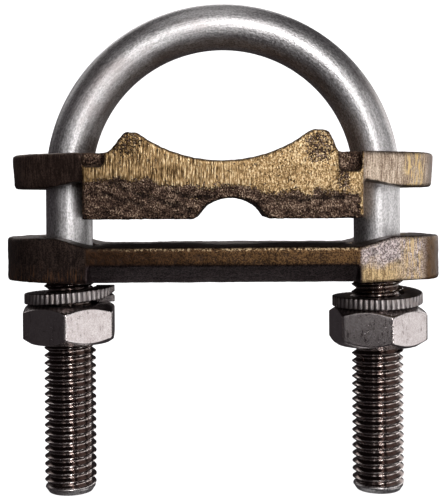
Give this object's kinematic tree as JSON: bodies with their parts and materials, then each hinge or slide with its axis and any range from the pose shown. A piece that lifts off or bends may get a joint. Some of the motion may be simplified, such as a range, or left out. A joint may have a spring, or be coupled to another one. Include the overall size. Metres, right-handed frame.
{
  "type": "ground rod clamp",
  "caption": "U-bolt clamp that presses a grounding conductor and a round rod together between a curved bronze saddle and a lower bronze bar, drawn up by nuts on threaded legs.",
  "frame": {"origin": "centre of the U-bolt's bend, on the axis of the bend and midway between the legs, where the gripped rod passes", "axes": "+Z from the legs up to the bend, +X from the left leg to the right leg, +Y along the gripped rod, away from the viewer"},
  "size_m": [0.0838, 0.029, 0.0945],
  "materials": {
    "bolt_steel": "satin bent rod with rolled threads",
    "saddle_bronze": "sand-cast bronze, front and back faces ground",
    "bar_bronze": "sand-cast bronze, darkened",
    "washer_steel": "dark steel with a fluted rim",
    "nut_steel": "scratched satin steel"
  },
  "bodies": {
    "u_bolt": {"u_bolt": "bolt_steel"},
    "lower_bar": {"lower_bar": "bar_bronze"},
    "saddle": {"saddle": "saddle_bronze"},
    "nut_left": {"hex_nut_left": "nut_steel", "spring_washer_left": "washer_steel"},
    "nut_right": {"hex_nut_right": "nut_steel", "spring_washer_right": "washer_steel"}
  },
  "joints": [
    {"name": "bar_slide", "type": "slide", "parent": "u_bolt", "child": "lower_bar", "axis": [0, 0, 1], "range_m": [-0.027, 0.00075]},
    {"name": "saddle_slide", "type": "slide", "parent": "lower_bar", "child": "saddle", "axis": [0, 0, 1], "range_m": [-0.0046, 0.0005]},
    {"name": "nut_left_turn", "type": "hinge", "parent": "lower_bar", "child": "nut_left", "pos_m": [-0.03, 0, -0.027], "axis": [0, 0, 1], "range_deg": [-6480, 180]},
    {"name": "nut_right_turn", "type": "hinge", "parent": "lower_bar", "child": "nut_right", "pos_m": [0.03, 0, -0.028], "axis": [0, 0, 1], "range_deg": [-6480, 180]}
  ],
  "couplings": [
    {"joint": "nut_left_turn", "follows": "bar_slide", "rad_per_m": 4188.8},
    {"joint": "nut_right_turn", "follows": "bar_slide", "rad_per_m": 4188.8}
  ]
}
